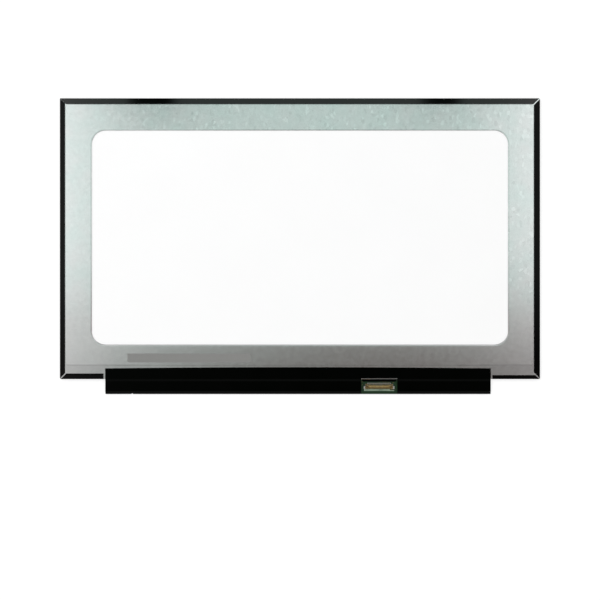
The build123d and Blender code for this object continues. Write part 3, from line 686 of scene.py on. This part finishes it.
# Tinned lands of the board
CONTACT_LAND_HALF = 0.15
CONTACT_LAND_FRONT = 3.10
CONTACT_LAND_BACK = 4.34
CONTACT_LAND_CORNER = 0.04
CONTACT_LAND_STEPS = 2
TAB_LAND = rounded(9.75, -0.26, 11.22, 1.88, 0.2, 3)
REAR_LAND = rounded(7.75, 3.30, 8.55, 4.34, 0.1, 3)
LAND_HEIGHT = 0.012


def contact_land(u):
    left = u - CONTACT_LAND_HALF
    right = u + CONTACT_LAND_HALF
    limits = (left, CONTACT_LAND_FRONT, right, CONTACT_LAND_BACK)
    return rounded(*limits, CONTACT_LAND_CORNER, CONTACT_LAND_STEPS)


def add_lands():
    """Tinned lands under the contacts, the end tabs and the patches at the shell's rear corners."""
    bm = bmesh.new()
    lands = [contact_land(u) for u in contact_row]
    for side in SIDES:
        lands.append(mirrored(TAB_LAND, side))
        lands.append(mirrored(REAR_LAND, side))
    for land in lands:
        plate(bm, spots(land), board_top, LAND_HEIGHT)
    add_piece("board_lands", bm, "cover_steel", "solder")


# Plated holes of the board
VIAS = (
    (-7.21, 4.62), (-0.77, 4.62), (0.77, 4.66), (2.72, 4.78), (3.23, 4.78), (4.22, 4.78), (4.69, 4.78),
    (5.26, 4.78), (6.65, 4.78), (7.13, 4.78), (7.56, 4.78), (10.04, 4.50), (10.54, 4.50), (8.31, -0.62),
    (8.82, -0.62), (9.42, -0.80), (9.92, -0.80), (11.95, -0.80), (-12.35, 3.10), (-12.35, 5.00),
)
VIA_RADIUS = 0.20
VIA_HEIGHT = 0.020
HOLE_RADIUS = 0.10
HOLE_HEIGHT = 0.006


def add_vias():
    """Plated rings with dark holes."""
    bm = bmesh.new()
    for place in VIAS:
        hole = circle(*spot(*place), HOLE_RADIUS)
        plate(bm, circle(*spot(*place), VIA_RADIUS), board_top, VIA_HEIGHT, holes=[hole])
        plate(bm, hole, board_top, HOLE_HEIGHT, material=1)
    add_piece("board_vias", bm, "gold_plate", "gold", "hole")


# Areas of copper under the mask: one in front, one at each end (the right one is given), and the traces from
# the contacts, of which each group of five lacks its third
MASK_HEIGHT = 0.018
POUR_HALF = 13.6
POUR_BACK = 6.60
FRONT_POUR = (
    (-POUR_HALF, -3.75), (POUR_HALF, -3.75), (POUR_HALF, -2.00), (2.9, -2.00), (1.5, -2.60), (0.4, -2.60),
    (-0.6, -2.00), (-POUR_HALF, -2.00),
)
END_POUR = (
    (POUR_HALF, -1.70), (POUR_HALF, POUR_BACK), (8.9, POUR_BACK), (8.9, 3.90), (10.7, 3.90), (10.7, 2.30),
    (11.95, 2.30), (11.95, -0.20), (12.4, -0.20), (12.4, -1.70),
)
TRACE_HALF = 0.09
TRACE_FRONT = 4.36
TRACE_GROUP = 5
TRACE_LEFT_OUT = 2
VIA_GAP_RADIUS = 0.30
VIA_GAP_MARGIN = 0.35


def trace(u):
    left = u - TRACE_HALF
    right = u + TRACE_HALF
    return ((left, TRACE_FRONT), (right, TRACE_FRONT), (right, POUR_BACK), (left, POUR_BACK))


def via_gaps(outline):
    """Rings round the vias that lie well inside the limits of an outline."""
    row, depth = ([point[axis] for point in outline] for axis in (X, Y))
    gaps = []
    for u, v in VIAS:
        inside_row = min(row) + VIA_GAP_MARGIN < u < max(row) - VIA_GAP_MARGIN
        inside_depth = min(depth) + VIA_GAP_MARGIN < v < max(depth) - VIA_GAP_MARGIN
        if inside_row and inside_depth:
            gaps.append(circle(*spot(u, v), VIA_GAP_RADIUS))
    return gaps


def add_pour():
    """Copper under green solder mask, with the bare gaps between its areas."""
    bm = bmesh.new()
    areas = [FRONT_POUR]
    areas += [mirrored(END_POUR, side) for side in SIDES]
    areas += [trace(u) for i, u in enumerate(contact_row) if i % TRACE_GROUP != TRACE_LEFT_OUT]
    for outline in areas:
        plate(bm, spots(outline), board_top, MASK_HEIGHT, via_gaps(outline))
    add_piece("board_pour", bm, "board_laminate", "pour")


# Paler ground area in front of the connector, in three parts with two traces let through between them
APRON_FRONT = -1.62
APRON_BACK = -0.14
APRON_HALF = 11.0
APRON_PARTS = (
    (
        (-APRON_HALF, APRON_FRONT), (-0.15, APRON_FRONT), (0.75, -0.35), (0.75, APRON_BACK),
        (-8.6, APRON_BACK), (-8.6, -0.40), (-APRON_HALF, -0.40),
    ),
    (
        (0.25, APRON_FRONT), (1.35, APRON_FRONT), (1.95, -0.95), (1.95, APRON_BACK), (1.10, APRON_BACK),
        (1.10, -0.42),
    ),
    (
        (1.75, APRON_FRONT), (APRON_HALF, APRON_FRONT), (APRON_HALF, -1.10), (7.9, -1.10), (7.9, APRON_BACK),
        (2.30, APRON_BACK), (2.30, -1.05),
    ),
)


def add_apron():
    bm = bmesh.new()
    for outline in APRON_PARTS:
        plate(bm, spots(outline), board_top, MASK_HEIGHT)
    add_piece("board_apron", bm, "board_laminate", "apron")


# Label, placed from the panel's middle
LABEL = rounded(-126.0, -84.77, -36.0, -78.34, 0.5)
LABEL_SINK = 0.01
LABEL_THICKNESS = 0.02


def add_label():
    """A blank label on the lower part of the cover."""
    bm = bmesh.new()
    field = in_mm(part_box("back_cover")[1])[Z]
    plate(bm, LABEL, field - LABEL_SINK, LABEL_THICKNESS)
    add_piece("blank_label", bm, "edge_tape", "label")


add_tail_solder()
add_tab_solder()
add_lands()
add_vias()
add_pour()
add_apron()
add_label()


# Floor, studio and lamp, in metres

FLOOR_HALF = 4.0
FLOOR_DROP = 0.1 * MM
FLOOR_GLOW = 0.70
FLOOR_TONE = grey(0.36)


def add_floor():
    """Pale floor that shows white and keeps the panel's shadow."""
    bm = bmesh.new()
    bmesh.ops.create_grid(bm, x_segments=1, y_segments=1, size=FLOOR_HALF)
    mesh = bpy.data.meshes.new("floor")
    bm.to_mesh(mesh)
    bm.free()
    floor = bpy.data.objects.new("floor", mesh)
    floor.location.z = panel_low.z - FLOOR_DROP
    bpy.context.collection.objects.link(floor)
    material = bpy.data.materials.new("floor")
    material.use_nodes = True
    nodes = Nodes(material.node_tree)
    nodes.tree.nodes.remove(nodes.tree.nodes["Principled BSDF"])
    path = nodes.node("ShaderNodeLightPath").outputs
    seen = nodes.math("MAXIMUM", path["Is Camera Ray"], path["Is Glossy Ray"])
    glow = nodes.node("ShaderNodeEmission", {"Strength": nodes.math("MULTIPLY", seen, FLOOR_GLOW)})
    diffuse = nodes.node("ShaderNodeBsdfDiffuse", {"Color": FLOOR_TONE})
    total = nodes.node("ShaderNodeAddShader", {0: diffuse.outputs[0], 1: glow.outputs[0]})
    nodes.feed(nodes.tree.nodes["Material Output"].inputs["Surface"], total.outputs[0])
    mesh.materials.append(material)


# Surroundings, by direction: x to the panel's right, y to its top, z up, as parts of a length of 1
STUDIO_STRENGTH = 1.045
WALL_AT = 0.166
WALL_SHARPNESS = 8.3
LEFT_WALL = grey(1.05)
RIGHT_WALL = grey(0.99)
WALL_CHANGE = 0.2
CEILING_END = (0.48, 0.66)
CEILING_REACH = 0.5
CEILING_NEAR = (0.600, 0.610, 0.605)
CEILING_TINT = (0.548, 0.637, 0.610)
CEILING_FAR = grey(0.38)
GAP_X = 0.0625
GAP_Y = -0.0391
GAP_HALF_WIDTH = 0.2656
GAP_RISE = 0.0319
GAP_FALL = 0.12
GAP_SHARPNESS = 0.816
GAP_TONE = (0.045, 0.003, 0.001)
SLITS = ((-0.1030, 0.0155), (0.0982, 0.0127))
SLIT_EDGE = 0.004
SLIT_START = (0.126, 0.135)
SLIT_END = (0.22, 0.30)
HORIZON_LEVEL = 0.42
HORIZON_RANGE = (0.05, 0.85)


def add_studio():
    """Surroundings as bare metal mirrors them: white walls, a tinted ceiling, a dark gap and two slits."""
    world = bpy.data.worlds.new("studio")
    bpy.context.scene.world = world
    world.use_nodes = True
    nodes = Nodes(world.node_tree)
    direction = nodes.node("ShaderNodeTexCoord").outputs["Generated"]
    x, y, z = nodes.node("ShaderNodeSeparateXYZ", {"Vector": direction}).outputs

    # white walls, and between them the tinted ceiling
    wall = nodes.math("DIVIDE", nodes.math("ABSOLUTE", x), WALL_AT)
    wall = nodes.math("POWER", wall, WALL_SHARPNESS)
    beyond = nodes.between(nodes.math("ABSOLUTE", y), 0.0, 1.0, *CEILING_END, "SMOOTHSTEP")
    white = nodes.math("MINIMUM", nodes.math("MAXIMUM", wall, beyond), 1.0)
    walls = nodes.blend(nodes.between(x, 0.0, 1.0, -WALL_CHANGE, WALL_CHANGE), LEFT_WALL, RIGHT_WALL)
    height = nodes.between(y, 0.0, 1.0, -CEILING_REACH, CEILING_REACH)
    ceiling = nodes.ramp(
        height, (0.16, CEILING_NEAR), (0.30, CEILING_TINT), (0.70, CEILING_TINT), (0.84, CEILING_FAR),
    )
    light = nodes.blend(white, ceiling, walls)

    # the dark gap, softer on its lower side
    across = nodes.math("DIVIDE", nodes.math("SUBTRACT", x, GAP_X), GAP_HALF_WIDTH)
    above = nodes.math("SUBTRACT", y, GAP_Y)
    rise = nodes.math("DIVIDE", above, GAP_RISE)
    fall = nodes.math("DIVIDE", above, -GAP_FALL)
    along = nodes.math("MAXIMUM", rise, fall)
    square = nodes.math("ADD", nodes.math("POWER", across, 2.0), nodes.math("POWER", along, 2.0))
    away = nodes.math("POWER", square, GAP_SHARPNESS)
    gap = nodes.math("EXPONENT", nodes.math("MULTIPLY", away, -1.0))
    light = nodes.blend(gap, light, GAP_TONE)

    # two dark slits in the ceiling, mirrored in the top tape: middle and half width along x
    from_start = nodes.between(y, 0.0, 1.0, *SLIT_START, "SMOOTHSTEP")
    to_end = nodes.between(y, 1.0, 0.0, *SLIT_END, "SMOOTHSTEP")
    reach = nodes.math("MULTIPLY", from_start, to_end)
    for middle, half in SLITS:
        away = nodes.math("ABSOLUTE", nodes.math("SUBTRACT", x, middle))
        slit = nodes.between(away, 1.0, 0.0, half - SLIT_EDGE, half + SLIT_EDGE, "SMOOTHSTEP")
        light = nodes.blend(nodes.math("MULTIPLY", slit, reach), light, BLACK)

    # darker towards the horizon, so that the sheet still looks like metal from a low angle
    level = nodes.between(z, HORIZON_LEVEL, 1.0, *HORIZON_RANGE, "SMOOTHSTEP")
    light = nodes.blend(level, BLACK, light)

    shown = nodes.blend(nodes.node("ShaderNodeLightPath").outputs["Is Camera Ray"], light, WHITE)
    background = nodes.tree.nodes["Background"]
    nodes.feed(background.inputs["Color"], shown)
    background.inputs["Strength"].default_value = STUDIO_STRENGTH


LAMP_PLACE = (-1.0, 1.0, 1.8)
LAMP_SIDE = 1.6
LAMP_POWER = 14.2


def add_lamp():
    """One large soft lamp that points at the panel and isn't mirrored in it."""
    data = bpy.data.lights.new("key", "AREA")
    data.size = LAMP_SIDE
    data.energy = LAMP_POWER
    lamp = bpy.data.objects.new("key", data)
    lamp.location = LAMP_PLACE
    x, y, z = LAMP_PLACE
    tilt = math.atan2(math.hypot(x, y), z)
    turn = math.atan2(-y, -x) - math.pi / 2
    lamp.rotation_euler = (tilt, 0.0, turn)
    lamp.visible_glossy = False
    bpy.context.collection.objects.link(lamp)


add_floor()
add_studio()
add_lamp()
